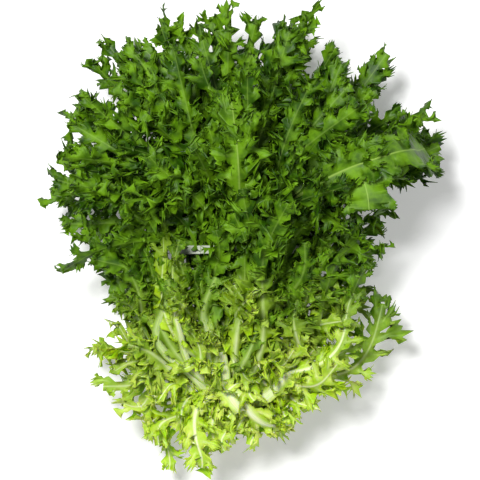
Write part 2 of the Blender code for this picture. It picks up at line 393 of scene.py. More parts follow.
# %% One side of a leaf
def side_of_leaf(side, blade, at, path, kind, rng):
    """Corners from the rib's edge to the margin, their flat places, the rib, and a vein mark."""
    line, along, across, out, gutter = path
    rows = len(at)
    blade_rows = rows - STALK_ROWS
    which, place, first = arms_of(blade_rows, 0 if side > 0 else ARM_ROWS // 2, rng)
    which = np.concatenate((np.full(STALK_ROWS, -1), which))
    place = np.concatenate((np.zeros(STALK_ROWS), place))
    inside = np.concatenate((np.zeros(STALK_ROWS, int), np.arange(blade_rows) - first))
    arms = which[-1] + 1

    rib = between(kind["rib"], kind["rib_tip"], np.clip(blade, 0, 1) ** 0.7)
    wing = between(*kind["wing"], smooth(blade)) * np.where(blade > 0, 1, 0.15)
    middle = np.array([np.mean(np.nonzero(which == arm)[0]) for arm in range(arms)]).astype(int)
    lead = np.where(which < 0, np.arange(rows), middle[which])
    spread = at - at[lead]

    def of_arm(spread, centre=0.0):
        return np.append(rng.normal(centre, spread, arms), 0.0)[which][:, None]

    def of_arm_between(low, high):
        return np.append(rng.uniform(low, high, arms), 0.0)[which][:, None]

    # b is the arm's place along the blade, u a row's place across its arm, and v how far out it is.
    b = np.clip(blade[lead], 0, 1)[:, None]
    u = place[:, None]
    reach = between(kind["first_arm"], 1.0, smooth(b / 0.5)) * (1 - 0.3 * smooth((b - 0.8) / 0.2))
    reach = kind["arm"] * reach * of_arm_between(*ARM_REACHES)
    clear_of_tie = smooth(np.abs(line[lead, 1] - TIE_MIDDLE[1]) / TIE_PRESSES)[:, None]
    reach = reach * between(kind["at_tie"], 1.0, clear_of_tie)
    share = (1 - 0.3 * u**2) * teeth(inside, rng)[:, None]
    v = NECK_TO_TIP[None, 1:] * share
    v_before = NECK_TO_TIP[None, :-1] * share
    mid = (v + v_before) / 2

    # In radians: theta turns the arm forward, phi lifts it out of the leaf, and twist rolls it.
    closing = TOP_FORWARD * smooth((b - TOP_ARMS) / 0.18)
    forward = between(*ARM_FORWARD, b) + of_arm(FORWARD_STRAY) + closing
    theta = forward + of_arm(BEND_STRAY, BEND) * mid
    curl = kind["curl"]
    per_tooth = rng.normal(0, TOOTH_STRAY * curl, rows)
    per_tooth = (per_tooth + np.roll(per_tooth, 1)) / 1.4
    phi = of_arm(LIFT_STRAY * curl, LIFT) + of_arm(CURL_STRAY * curl) * mid
    phi = phi + per_tooth[:, None] * mid**1.6
    twist = of_arm(TWIST_STRAY * curl) * v

    def direction(a, x, o):
        """A mix of the three directions at each arm's middle."""
        return (
            a[..., None] * along[lead][:, None]
            + x[..., None] * (side * across[lead])[:, None]
            + o[..., None] * out[lead][:, None]
        )

    # The walk along the arm's middle, then how wide it is on the way.
    step = (v - v_before) * reach
    walk = direction(np.cos(phi) * np.sin(theta), np.cos(phi) * np.cos(theta), np.sin(phi))
    walk = np.cumsum(walk * step[..., None], axis=1)
    neck = of_arm_between(*kind["neck"])
    fan = np.maximum(reach * of_arm_between(*ARM_FANS), neck)
    base = np.append([np.abs(spread[which == arm]).max() for arm in range(arms)], 0.0)[which][:, None]
    width = neck + (base - neck) * (1 - smooth(v / 0.3)) + (fan - neck) * smooth((v - 0.25) / 0.45)
    ragged = np.where(np.arange(1, len(NECK_TO_TIP)) % 2 == 0, RAGGED, -RAGGED)[None, :]
    width = width * (1 + ragged * smooth((np.abs(u) - 0.75) / 0.25) * smooth(v / 0.4))
    sideways = direction(np.cos(theta) * np.cos(twist), -np.sin(theta) * np.cos(twist), np.sin(twist))
    fold = of_arm(FOLD_STRAY * curl, FOLD)
    bulge = direction(np.zeros_like(v), np.zeros_like(v), fold * width * (u**2 - 0.4))
    edge = line + (side * rib)[:, None] * across
    root = line[lead] + (side * (rib + wing))[:, None] * across[lead]
    points = root[:, None] + walk + (u * width)[..., None] * sideways + bulge
    wing_edge = edge + (side * wing)[:, None] * across
    points = np.concatenate((edge[:, None], wing_edge[:, None], points), axis=1)

    # The same walk in the flat leaf, for its UV map.
    run = np.cumsum(np.stack((np.sin(theta), np.cos(theta)), axis=-1) * step[..., None], axis=1)
    flat_along = at[lead][:, None] + run[..., 0] + u * width * np.cos(theta)
    flat_across = (rib + wing)[:, None] + run[..., 1] - u * width * np.sin(theta)
    flat_across = np.concatenate((rib[:, None], (rib + wing)[:, None], flat_across), axis=1)
    flat_along = np.concatenate((at[:, None], at[:, None], flat_along), axis=1)
    vein = np.exp(-((u * width / VEIN_HALF_WIDTH) ** 2)) * (1 - v)
    vein = np.concatenate((np.zeros((rows, 1)), vein[:, :1] * 0.7, vein), axis=1)
    cells = (which[1:] == which[:-1]) & (which[1:] >= 0)
    return points, flat_across * side, flat_along, rib, vein, cells


# %% [markdown]
# ## From numbers to a mesh
#
# A grid primitive gives the sheet's corners and faces. The cells in the slits are deleted, and
# each corner moves to its place. The sheet is given a thickness with Solidify. A vertex group makes
# the rib many times thicker than the blade, and only on the outer side, as on a real leaf, whose
# inner side is almost flat.
#
# The sheet also keeps its flat shape as a UV map, in centimetres, so that veins can follow it.

# %% Build a leaf
FLOOR_ROOM = 9 * MM  # below this height a leaf is pressed flat rather than through the surface


def above_floor(points):
    """Presses what hangs low towards the surface, and never through it."""
    height = points[..., 2]
    pressed = FLOOR_ROOM * np.exp((np.minimum(height, FLOOR_ROOM) - FLOOR_ROOM) / FLOOR_ROOM)
    points[..., 2] = np.where(height < FLOOR_ROOM, pressed, height)
    return points


def mesh_of(shape, name):
    """Hands a bmesh over to a new smooth-shaded mesh."""
    mesh = bpy.data.meshes.new(name)
    shape.to_mesh(mesh)
    shape.free()
    mesh.shade_smooth()
    return mesh


def put_in_scene(name, data):
    made = bpy.data.objects.new(name, data)
    bpy.context.scene.collection.objects.link(made)
    return made


def add_mesh_values(mesh, name, values):
    layer = mesh.attributes.new(name, "FLOAT", "POINT")
    layer.data.foreach_set("value", values.astype(np.float32))


def sheet_object(name, points, flat, kept, marks, thick, finish):
    """A solid leaf from rows x columns of corners, with only the kept cells."""
    rows, columns = points.shape[0] - 1, points.shape[1] - 1
    grid = bmesh.new()
    bmesh.ops.create_grid(grid, x_segments=columns, y_segments=rows, size=1)
    cut = []
    for face in grid.faces:
        centre = face.calc_center_median()
        if not kept[int((centre.y + 1) / 2 * rows), int((centre.x + 1) / 2 * columns)]:
            cut.append(face)
    bmesh.ops.delete(grid, geom=cut, context="FACES")
    mesh = mesh_of(grid, name)
    corners = np.empty(len(mesh.vertices) * 3)
    mesh.vertices.foreach_get("co", corners)
    corners = corners.reshape(-1, 3)
    column = np.rint((corners[:, 0] + 1) / 2 * columns).astype(int)
    row = np.rint((corners[:, 1] + 1) / 2 * rows).astype(int)
    mesh.vertices.foreach_set("co", points[row, column].ravel())

    flat_map = mesh.uv_layers.new(name="flat_leaf")
    owner = np.empty(len(mesh.loops), dtype=int)
    mesh.loops.foreach_get("vertex_index", owner)
    flat_map.data.foreach_set("uv", (flat[row[owner], column[owner]] * 100).ravel())
    for mark, values in marks.items():
        add_mesh_values(mesh, mark, values[row, column])
    mesh.materials.append(finish)

    leaf = put_in_scene(name, mesh)
    group = leaf.vertex_groups.new(name="thick")
    weights = marks["thick"][row, column]
    for index in np.nonzero(weights > 0)[0].tolist():
        group.add([index], float(weights[index]), "REPLACE")
    shell = leaf.modifiers.new("thickness", "SOLIDIFY")
    shell.thickness = thick
    shell.thickness_vertex_group = BLADE / thick
    shell.vertex_group = "thick"
    shell.offset = -1
    shell.use_even_offset = False
    return leaf


def grow_leaf(name, measured, kind, seed):
    """A frilled leaf along a measured middle line, riding on the head's one body."""
    rng = np.random.default_rng(seed)
    length = measured[-1][-1]
    kind = kind | {"arm": kind["arm"] * rng.uniform(*ARM_SIZES)}
    bare = kind["bare"] * length
    arm_count = max(2, round((length - bare) / kind["apart"]))
    blade_at = np.linspace(bare, length, arm_count * ARM_ROWS)
    stalk_at = np.linspace(0, bare, STALK_ROWS + 1)[:-1]
    at = np.concatenate((stalk_at, blade_at))
    blade = (at - bare) / (length - bare)

    path = leaf_path(measured, at, LIMP_FROM * length, kind["limp"], rng)
    right = side_of_leaf(1, blade, at, path, kind, rng)
    left = side_of_leaf(-1, blade, at, path, kind, rng)
    rib = right[3]
    points = np.concatenate((left[0][:, ::-1], path[0][:, None], right[0]), axis=1)
    across = np.concatenate((left[1][:, ::-1], np.zeros((len(at), 1)), right[1]), axis=1)
    lengthwise = np.concatenate((left[2][:, ::-1], at[:, None], right[2]), axis=1)
    points = above_floor(points)

    wide = len(NECK_TO_TIP) - 1
    kept = np.ones((len(at) - 1, points.shape[1] - 1), bool)
    kept[:, :wide] = left[5][:, None]
    kept[:, -wide:] = right[5][:, None]
    distance = np.abs(across)
    on_rib = 1 - smooth((distance / rib[:, None] - 0.5) / 0.6)
    fade = between(1, RIB_TIP_THICKNESS, smooth(blade))[:, None]
    round_off = 1 - (distance / (RIB_ROUND_OFF * rib[:, None])) ** 2
    thick = np.clip(round_off, 0, 1) ** 0.5 * fade
    vein = np.concatenate((left[4][:, ::-1], np.zeros((len(at), 1)), right[4]), axis=1)
    tone = np.full_like(distance, rng.normal(0, 1))
    on_rib, vein = kind["rib_shows"] * on_rib, kind["rib_shows"] * vein
    marks = {"rib": on_rib, "vein": vein, "thick": thick, "tone": tone}
    flat = np.stack((across, lengthwise), axis=-1)
    leaf = sheet_object(name, points, flat, kept, marks, kind["thick"], LEAF_FINISHES[kind["slot"]])
    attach(leaf, "root")
    return leaf


# %% [markdown]
# ## Leaf tissue
#
# One tissue serves all leaves, because it is one plant. The green deepens with distance from the
# crown, as the inner parts had no light. Ribs and veins have little chlorophyll and are close to
# white near the crown and pale green at the tips. A soft mottling breaks up the green, and fine
# ridges along the leaf give the surface its satin shine. The tissue makes two finishes, because
# far more light goes through a blanched leaf than through a green one.


# %% Colours
def linear(red, green, blue):
    """A colour as Blender wants it, from the 0 to 255 values of a paint chart."""
    shares = np.array((red, green, blue)) / 255
    straight = np.where(shares <= 0.04045, shares / 12.92, ((shares + 0.055) / 1.055) ** 2.4)
    return (*straight, 1)


DEEP_GREEN = linear(38, 74, 1)
FRESH_GREEN = linear(103, 148, 9)
YELLOW_GREEN = linear(162, 200, 14)
PALE_YELLOW = linear(196, 217, 90)
RIB_GREEN = linear(150, 180, 84)
RIB_WHITE = linear(230, 236, 192)
PATCHES, MOTTLE, BUMPS = 22.0, 95.0, 420.0  # how many to the metre
FIBRES = 14.0  # how many to the centimetre across a flat leaf
FIBRE_STRETCH = (1.0, 0.06, 1.0)  # they are drawn out along it


# %% The leaf tissue node group
def new_group(name, inputs, outputs):
    group = bpy.data.node_groups.new(name, "ShaderNodeTree")
    for label, kind, value in inputs:
        socket = group.interface.new_socket(label, in_out="INPUT", socket_type=kind)
        if value is not None:
            socket.default_value = value
    for label, kind in outputs:
        group.interface.new_socket(label, in_out="OUTPUT", socket_type=kind)
    return group, group.nodes.new("NodeGroupInput"), group.nodes.new("NodeGroupOutput")


def wire(tree, source, target):
    tree.links.new(source, target)


def math_node(tree, operation, a, b):
    node = tree.nodes.new("ShaderNodeMath")
    node.operation = operation
    for socket, value in zip(node.inputs, (a, b)):
        if isinstance(value, (int, float)):
            socket.default_value = value
        else:
            wire(tree, value, socket)
    return node.outputs[0]


def times_plus(tree, value, factor, more):
    """value * factor + more"""
    return math_node(tree, "ADD", math_node(tree, "MULTIPLY", value, factor), more)


def mix_colour(tree, share, a, b):
    node = tree.nodes.new("ShaderNodeMix")
    node.data_type = "RGBA"
    for socket, value in ((node.inputs[0], share), (node.inputs[6], a), (node.inputs[7], b)):
        if isinstance(value, (int, float, tuple)):
            socket.default_value = value
        else:
            wire(tree, value, socket)
    return node.outputs[2]


def noise(tree, vector, scale, detail=2.0, roughness=0.5):
    node = tree.nodes.new("ShaderNodeTexNoise")
    node.inputs["Scale"].default_value = scale
    node.inputs["Detail"].default_value = detail
    node.inputs["Roughness"].default_value = roughness
    wire(tree, vector, node.inputs["Vector"])
    return node.outputs["Fac"]


def ramp_between(tree, value, low, high):
    node = tree.nodes.new("ShaderNodeMapRange")
    node.interpolation_type = "SMOOTHSTEP"
    node.inputs["From Min"].default_value = low
    node.inputs["From Max"].default_value = high
    wire(tree, value, node.inputs["Value"])
    return node.outputs["Result"]


def tissue_group():
    inputs = [
        ("Place", "NodeSocketVector", None),
        ("Flat", "NodeSocketVector", None),
        ("Rib", "NodeSocketFloat", 0.0),
        ("Vein", "NodeSocketFloat", 0.0),
        ("Tone", "NodeSocketFloat", 0.0),
        ("Pale End", "NodeSocketFloat", 0.0),
        ("Green End", "NodeSocketFloat", 0.1),
    ]
    outputs = [
        ("Color", "NodeSocketColor"),
        ("Roughness", "NodeSocketFloat"),
        ("Height", "NodeSocketFloat"),
    ]
    tree, given, result = new_group("leaf_tissue", inputs, outputs)
    split = tree.nodes.new("ShaderNodeSeparateXYZ")
    wire(tree, given.outputs["Place"], split.inputs[0])
    patches = noise(tree, given.outputs["Place"], PATCHES)
    shifted = math_node(tree, "SUBTRACT", patches, 0.5)
    along = times_plus(tree, shifted, 0.09, split.outputs["Y"])
    along = times_plus(tree, given.outputs["Tone"], 0.02, along)
    span = math_node(tree, "SUBTRACT", given.outputs["Green End"], given.outputs["Pale End"])
    grown = math_node(tree, "SUBTRACT", along, given.outputs["Pale End"])
    green = ramp_between(tree, math_node(tree, "DIVIDE", grown, span), 0.0, 1.0)
    green = math_node(tree, "POWER", green, 0.8)

    mottle = ramp_between(tree, noise(tree, given.outputs["Place"], MOTTLE, 3.0), 0.3, 0.72)
    mottle = times_plus(tree, given.outputs["Tone"], 0.16, mottle)
    dark = mix_colour(tree, mottle, DEEP_GREEN, FRESH_GREEN)
    pale = mix_colour(tree, mottle, YELLOW_GREEN, PALE_YELLOW)
    blade = mix_colour(tree, green, pale, dark)

    drawn_out = tree.nodes.new("ShaderNodeMapping")
    drawn_out.inputs["Scale"].default_value = FIBRE_STRETCH
    wire(tree, given.outputs["Flat"], drawn_out.inputs["Vector"])
    fibres = noise(tree, drawn_out.outputs["Vector"], FIBRES, 3.0)
    rib = mix_colour(tree, green, RIB_WHITE, RIB_GREEN)
    streaks = math_node(tree, "MULTIPLY", ramp_between(tree, fibres, 0.4, 0.75), 0.45)
    rib = mix_colour(tree, streaks, rib, mix_colour(tree, green, YELLOW_GREEN, FRESH_GREEN))
    veins = math_node(tree, "MULTIPLY", given.outputs["Vein"], 0.35)
    share = math_node(tree, "MAXIMUM", given.outputs["Rib"], veins)
    share = math_node(tree, "MULTIPLY", share, ramp_between(tree, green, 1.6, 0.2))
    colour = mix_colour(tree, share, blade, rib)

    wire(tree, colour, result.inputs["Color"])
    wire(tree, times_plus(tree, mottle, 0.15, 0.45), result.inputs["Roughness"])
    bumps = noise(tree, given.outputs["Place"], BUMPS)
    wire(tree, times_plus(tree, bumps, 0.6, fibres), result.inputs["Height"])
    return tree


# %% The leaf finish
TISSUE = tissue_group()
PALE_END = CROWN_FACE[1] + 6 * MM  # up to here along the head the tissue is blanched
GREEN_END = TIE_MIDDLE[1] - 8 * MM  # and from here on it is green


def attribute(tree, name):
    node = tree.nodes.new("ShaderNodeAttribute")
    node.attribute_name = name
    return node.outputs["Fac"]


def new_finish(name):
    """A plain finish to build on: its material, node tree and shader, and the place on the piece."""
    made = bpy.data.materials.new(name)
    made.use_nodes = True
    tree = made.node_tree
    place = tree.nodes.new("ShaderNodeTexCoord").outputs["Object"]
    return made, tree, tree.nodes["Principled BSDF"], place


def raise_bumps(tree, shader, height, strength, distance):
    bump = tree.nodes.new("ShaderNodeBump")
    bump.inputs["Strength"].default_value = strength
    bump.inputs["Distance"].default_value = distance
    wire(tree, height, bump.inputs["Height"])
    wire(tree, bump.outputs["Normal"], shader.inputs["Normal"])


def leaf_finish(name, glow):
    """The tissue, with a share of light that goes into the blade and comes out around."""
    made, tree, shader, place = new_finish(name)
    tissue = tree.nodes.new("ShaderNodeGroup")
    tissue.node_tree = TISSUE
    flat = tree.nodes.new("ShaderNodeUVMap")
    flat.uv_map = "flat_leaf"
    wire(tree, place, tissue.inputs["Place"])
    wire(tree, flat.outputs["UV"], tissue.inputs["Flat"])
    for mark in ("Rib", "Vein", "Tone"):
        wire(tree, attribute(tree, mark.lower()), tissue.inputs[mark])
    tissue.inputs["Pale End"].default_value = PALE_END
    tissue.inputs["Green End"].default_value = GREEN_END
    wire(tree, tissue.outputs["Color"], shader.inputs["Base Color"])
    wire(tree, tissue.outputs["Roughness"], shader.inputs["Roughness"])
    raise_bumps(tree, shader, tissue.outputs["Height"], 0.25, 0.4 * MM)
    shader.inputs["Specular IOR Level"].default_value = 0.25
    shader.inputs["Subsurface Weight"].default_value = glow
    shader.inputs["Subsurface Radius"].default_value = (0.8, 1.0, 0.2)
    shader.inputs["Subsurface Scale"].default_value = 1.0 * MM
    return made


LEAF_FINISHES = {
    "leaf_green": leaf_finish("green_tissue", 0.1),
    "leaf_blanched": leaf_finish("blanched_tissue", 0.85),
}

# %% [markdown]
# ## Growing the head
#
# Each CAD leaf gets its real leaf. A head has far more leaves than that, and they fill the gaps
# between the ones that carry its shape. So between two neighbours a filler leaf grows on the
# middle of their two lines, and mostly stops a little sooner. Neighbours are the leaves whose tips
# lie nearest to each other.

# %% Grow the leaves that stand for the CAD leaves
for seed, node in enumerate(long_nodes):
    leaf = grow_leaf(f"green_{node}", CAD_LEAVES[node], LONG_LEAF, 100 + seed)
    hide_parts(node)
for seed, node in enumerate(short_nodes):
    leaf = grow_leaf(f"pale_{node}", CAD_LEAVES[node], SHORT_LEAF, 500 + seed)
    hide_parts(node)
print("leaves on CAD leaves", len(long_nodes) + len(short_nodes))


# %% Filler leaves
LONG_FILLER = LONG_LEAF | {"bare": 0.46, "rib": 2.0 * MM}
SHORT_FILLER = SHORT_LEAF | {"bare": 0.2, "rib": 2.8 * MM}


def fan_between(a, b, share):
    """Points between two lines, as far from the tie's middle as they are, so that a fan stays one."""
    a, b = a - TIE_MIDDLE, b - TIE_MIDDLE
    reach = between(np.linalg.norm(a, axis=1), np.linalg.norm(b, axis=1), share)
    return TIE_MIDDLE + unit(between(unit(a), unit(b), share)) * reach[:, None]


def line_between(first, second, share, length_share):
    """What read_leaf would give for a leaf between two others, cut to a share of its length."""
    _, across, curvature, _ = (
        between(a, b, share) for a, b in zip(CAD_LEAVES[first], CAD_LEAVES[second])
    )
    middle = fan_between(CAD_LEAVES[first][0], CAD_LEAVES[second][0], share)
    lengths = lengths_along(middle)
    at = np.linspace(0, length_share * lengths[-1], len(lengths))
    middle, across, curvature = (through(lengths, v, at) for v in (middle, across, curvature))
    return middle, unit(across), curvature, at


def nearest_pairs(names, each):
    """Pairs of leaves that run side by side: each leaf with its few nearest."""
    ends = np.array([CAD_LEAVES[name][0][-4:].mean(axis=0) for name in names])
    apart = np.linalg.norm(ends[:, None] - ends[None, :], axis=2)
    pairs = set()
    for i in range(len(names)):
        for j in np.argsort(apart[i])[1 : each + 1]:
            pairs.add((min(i, int(j)), max(i, int(j))))
    return sorted(pairs)


def fill_between(names, each, kind, shares, seed):
    rng = np.random.default_rng(seed)
    pairs = nearest_pairs(names, each)
    for number, (i, j) in enumerate(pairs, 1):
        share, length = rng.uniform(0.35, 0.65), rng.uniform(*shares)
        line = line_between(names[i], names[j], share, length)
        grow_leaf(f"filler_{kind['slot']}_{number:02d}", line, kind, seed + number)
    return len(pairs)


made = fill_between(long_nodes, 2, LONG_FILLER, (0.78, 1.02), 1000)
made += fill_between(short_nodes, 3, SHORT_FILLER, (0.75, 1.05), 2000)
print("filler leaves", made)

# %% [markdown]
# ## Outer leaves that the tie does not hold
#
# The band goes round the bundle, but the head's loose outer leaves lie over it and beside it, so
# that only a little of it shows. Each one is drawn in its own half-plane through the head's axis:
# out from the crown, past the tie at a given radius, and then away from the axis.

# %% Outer leaves
TIE_RADIUS = (tie_high.x - tie_low.x) / 2
OUTER_LEAF = LONG_LEAF | {"bare": 0.16, "at_tie": 1.0, "rib": 3.0 * MM, "limp": 0.4}
OUTER_STATIONS = 24
OUTER_BULGE = 0.45  # radians: how far it sets out from its straight way to the tie


def outer_line(azimuth, radius, past_tie, splay):
    """A leaf's line at an azimuth round the head, 0 to the right and 90 up."""
    to_tie = TIE_MIDDLE[1] - CROWN_FACE[1]
    start = CROWN_RADIUS - 2 * MM
    lean = math.atan2(radius - start, to_tie)
    knee = math.hypot(radius - start, to_tie)
    lengths = np.linspace(0, knee + past_tie, OUTER_STATIONS)
    bulge = OUTER_BULGE * np.cos(np.clip(lengths / knee, 0, 1) * math.pi)
    turn = lean + bulge + splay * smooth((lengths - 0.75 * knee) / (past_tie + 0.25 * knee))
    turn = np.where(lengths > knee, turn + OUTER_BULGE, turn)
    step = np.diff(lengths, prepend=0)
    distance = start + np.cumsum(np.sin(turn) * step)
    forward = np.cumsum(np.cos(turn) * step)
    axis = between(CROWN_FACE, TIE_MIDDLE, np.clip(forward / to_tie, 0, 1)[:, None])
    radial = np.array((math.cos(azimuth), 0, math.sin(azimuth)))
    middle = axis + distance[:, None] * radial
    middle[:, 1] = CROWN_FACE[1] + forward
    across = np.tile((-math.sin(azimuth), 0.0, math.cos(azimuth)), (OUTER_STATIONS, 1))
    return middle, across, np.zeros((OUTER_STATIONS, 3)), lengths


OUTER_ROWS = (  # radius at the tie and length past it in mm, and the azimuths in degrees
    (54, 45, (15, 35, 55, 72, 88, 104, 174)),
    (72, 40, (-12, 14, 38, 70, 170, 190)),
    (84, 30, (-8, 14, 32)),
    (92, 35, (152, 170, 188)),
)


def outer_leaves():
    rng = np.random.default_rng(3000)
    rows = [(a, radius, past_tie) for radius, past_tie, turns in OUTER_ROWS for a in turns]
    for number, (azimuth, radius, past_tie) in enumerate(rows, 1):
        line = outer_line(
            math.radians(azimuth + rng.normal(0, 3)),
            (radius + rng.normal(0, 3)) * MM,
            past_tie * MM * rng.uniform(0.5, 1.4),
            math.radians(rng.uniform(15, 50)),
        )
        grow_leaf(f"outer_leaf_{number:02d}", line, OUTER_LEAF, 3000 + number)
    return len(rows)


print("outer leaves", outer_leaves())

# %% [markdown]
# ## Leaves laid one by one
#
# The last leaves are drawn one by one. A line is given by a few places seen from above, as
# distances from the tie's middle, and it starts at the crown as all leaves do. Its height is looked
# up: the leaf lies on the ones that are already there. Before them come the mop leaves, which close
# the fan beyond the tie from its rim to its middle, and have the heights of their tips in a table.
# The drawn leaves give this head its face: among them are a broad one that reaches far to the
# right, one that stands upright in the middle, one that hangs over the tie, and the thick white
# ribs that meet at the crown.

# %% Lines drawn from above
LAID_STATIONS = 24
FINE_STEPS = 8  # how many times finer the line is drawn before its even steps are taken
LAID_NEAR = 9 * MM  # how far round a place the height is looked up
HEAP_TOP = 90  # the percentile of the corners' heights there that counts as the top
ENOUGH_CORNERS = 200  # fewer than this are no heap to lie on


def leaf_corners():
    """All corners of the leaves made so far."""
    found = []
    for piece in bpy.data.objects:
        if piece.type == "MESH" and piece.data.uv_layers.get("flat_leaf"):
            corners = np.empty(len(piece.data.vertices) * 3)
            piece.data.vertices.foreach_get("co", corners)
            found.append(corners.reshape(-1, 3))
    return np.concatenate(found)


def top_at(corners, x, y, otherwise):
    """The height of the heap at a place, a little under its highest points."""
    near = (np.abs(corners[:, 0] - x) < LAID_NEAR) & (np.abs(corners[:, 1] - y) < LAID_NEAR)
    if near.sum() <= ENOUGH_CORNERS:
        return otherwise
    return np.percentile(corners[near, 2], HEAP_TOP)


def curve_through(points):
    """A smooth line through a few points, in even steps."""
    points = np.array(points)
    chords = lengths_along(points)
    fine = through(chords, points, np.linspace(0, chords[-1], FINE_STEPS * LAID_STATIONS))
    lengths = lengths_along(fine)
    even = np.linspace(0, lengths[-1], LAID_STATIONS)
    return through(lengths, fine, even), even


def drawn_line(points):
    """What read_leaf would give for a leaf along a line, with its outer side up."""
    middle, lengths = curve_through(points)
    along = unit(np.gradient(middle, lengths, axis=0))
    across = unit(np.cross((0.0, 0.0, 1.0), along))
    return middle, across, np.zeros((LAID_STATIONS, 3)), lengths


# %% Mop leaves
MOP_LEAF = LONG_LEAF | {
    "bare": 0.45,
    "rib": 1.8 * MM,
    "wing": (1.0 * MM, 2.2 * MM),
    "curl": 1.7,
    "limp": 0.0,
}
RIM_REACH = 120  # mm: leaves that reach further make the rim and keep their direction
RIM_STRAY, MIDDLE_STRAY = 1.5, 9  # degrees
MOP_TIPS = (  # direction in degrees, 0 along the head, then reach and height of the tip in mm
    ((-60, 148, 60), (-48, 160, 75), (-38, 172, 62), (-30, 177, 80), (-22, 177, 66), (-14, 172, 84)),
    ((-34, 166, 70), (-26, 168, 90), (-18, 168, 74), (-68, 148, 84), (-78, 130, 70)),
    ((-6, 168, 62), (2, 166, 82), (10, 166, 66), (18, 162, 84), (27, 154, 64), (38, 146, 80)),
    ((-64, 128, 100), (-44, 134, 112), (-27, 140, 108), (-10, 138, 116), (7, 136, 110)),
    ((24, 130, 114), (42, 128, 108), (58, 126, 112), (50, 150, 84), (62, 140, 66)),
    ((-55, 92, 126), (-35, 96, 130), (-16, 92, 132), (4, 94, 130), (24, 92, 132), (44, 92, 128)),
    ((-10, 164, 92), (-3, 167, 96), (24, 159, 88), (31, 150, 96), (-53, 154, 92), (-71, 142, 96)),
    ((-41, 160, 96), (13, 161, 94), (30, 140, 104), (-20, 158, 104)),
)


def mop_leaves():
    rng = np.random.default_rng(4000)
    tips = [tip for row in MOP_TIPS for tip in row]
    for number, (direction, reach, height) in enumerate(tips, 1):
        stray = RIM_STRAY if reach > RIM_REACH else MIDDLE_STRAY
        turn = math.radians(direction + rng.normal(0, stray))
        far, tip = (reach + rng.normal(0, 2)) * MM, (height + rng.normal(0, 5)) * MM
        sideways, forward = math.sin(turn), math.cos(turn)
        half = 0.5 * far
        line = drawn_line(
            (
                CROWN_FACE + (0.5 * CROWN_RADIUS * sideways, 0, 0),
                TIE_MIDDLE + (0.5 * TIE_RADIUS * sideways, 0, 0.3 * (tip - TIE_MIDDLE[2])),
                (TIE_MIDDLE[0] + half * sideways, TIE_MIDDLE[1] + half * forward, 0.8 * tip),
                (TIE_MIDDLE[0] + far * sideways, TIE_MIDDLE[1] + far * forward, tip),
            )
        )
        grow_leaf(f"mop_leaf_{number:02d}", line, MOP_LEAF, 4000 + number)
    return len(tips)


print("mop leaves", mop_leaves())

# %% Face leaves
BROAD_LEAF = LONG_LEAF | {
    "bare": 0.42,
    "rib": 2.4 * MM,
    "wing": (1.5 * MM, 14.0 * MM),
    "arm": 11 * MM,
    "neck": (4.5 * MM, 6.0 * MM),
    "curl": 0.55,
    "limp": 0.0,
    "at_tie": 1.0,
    "rib_shows": 2.2,
}
UPRIGHT_LEAF = BROAD_LEAF | {
    "wing": (3.0 * MM, 4.0 * MM),
    "arm": 20 * MM,
    "apart": 15 * MM,
    "neck": (1.5 * MM, 3.0 * MM),
    "curl": 0.9,
}
SMALL_LEAF = LONG_LEAF | {"bare": 0.3, "arm": 14 * MM, "limp": 0.0, "at_tie": 1.0, "curl": 0.9}
RIBBED_LEAF = SHORT_LEAF | {
    "bare": 0.42,
    "rib": 4.6 * MM,
    "thick": 3.6 * MM,
    "arm": 15 * MM,
    "limp": 0.0,
    "at_tie": 1.0,
    "rib_shows": 1.4,
}
WAIST_RIB = RIBBED_LEAF | {"bare": 0.72, "rib": 3.4 * MM, "rib_tip": 1.6 * MM, "rib_shows": 2.2}
YELLOW_LEAF = RIBBED_LEAF | {"rib": 2.4 * MM, "thick": 2.4 * MM, "curl": 1.0}
WIDE_YELLOW_LEAF = YELLOW_LEAF | {"arm": 21 * MM, "bare": 0.3}
FACE_LEAVES = {  # kind, how far above the heap, and places in mm from the tie's middle
    "broad_leaf": (BROAD_LEAF, 6, ((40, 34), (80, 60), (106, 70), (133, 72))),
    "forked_leaf": (BROAD_LEAF, 5, ((40, 36), (74, 58), (88, 50), (94, 30))),
    "upright_leaf": (UPRIGHT_LEAF, 6, ((-3, 40), (-6, 66), (-8, 84), (-10, 104))),
    "leaning_leaf": (UPRIGHT_LEAF, 1, ((2, 40), (12, 62), (18, 96))),
    "hanging_leaf": (SMALL_LEAF, 3, ((-4, 24), (-4, 4), (0, -34))),
    "left_leaf": (SMALL_LEAF, 2, ((-70, 12), (-100, 3), (-126, -17))),
    "left_waist_leaf": (SMALL_LEAF, -3, ((-44, -60), (-56, -20), (-62, 16))),
    "left_low_leaf": (SMALL_LEAF, -5, ((-56, -56), (-74, -20), (-84, 16))),
    "rib_left_of_tie": (WAIST_RIB, 2, ((-34, -98), (-56, -60), (-58, -22))),
    "rib_by_tie": (WAIST_RIB, 2, ((-26, -92), (-48, -64), (-46, -34))),
    "rib_under_tie": (WAIST_RIB, 2, ((-14, -84), (-24, -50), (-20, -18))),
    "rib_upward": (RIBBED_LEAF, 2, ((-4, -118), (-17, -90), (-26, -58))),
    "rib_to_lower_right": (RIBBED_LEAF, 2, ((-4, -106), (10, -116), (40, -130))),
    "rib_to_left": (RIBBED_LEAF, 2, ((-30, -100), (-55, -83), (-84, -70))),
    "rib_to_right": (RIBBED_LEAF, 2, ((22, -108), (36, -76), (44, -40))),
    "yellow_leaf": (YELLOW_LEAF, 2, ((0, -78), (6, -56), (8, -30))),
    "right_leaf": (WIDE_YELLOW_LEAF, 1, ((50, -96), (80, -80), (104, -42))),
    "second_right_leaf": (WIDE_YELLOW_LEAF, 0, ((46, -84), (70, -62), (86, -34))),
    "third_right_leaf": (WIDE_YELLOW_LEAF, 0, ((36, -100), (54, -92), (70, -84))),
    "bottom_leaf": (YELLOW_LEAF, 1, ((-24, -112), (-32, -132), (-34, -156))),
}


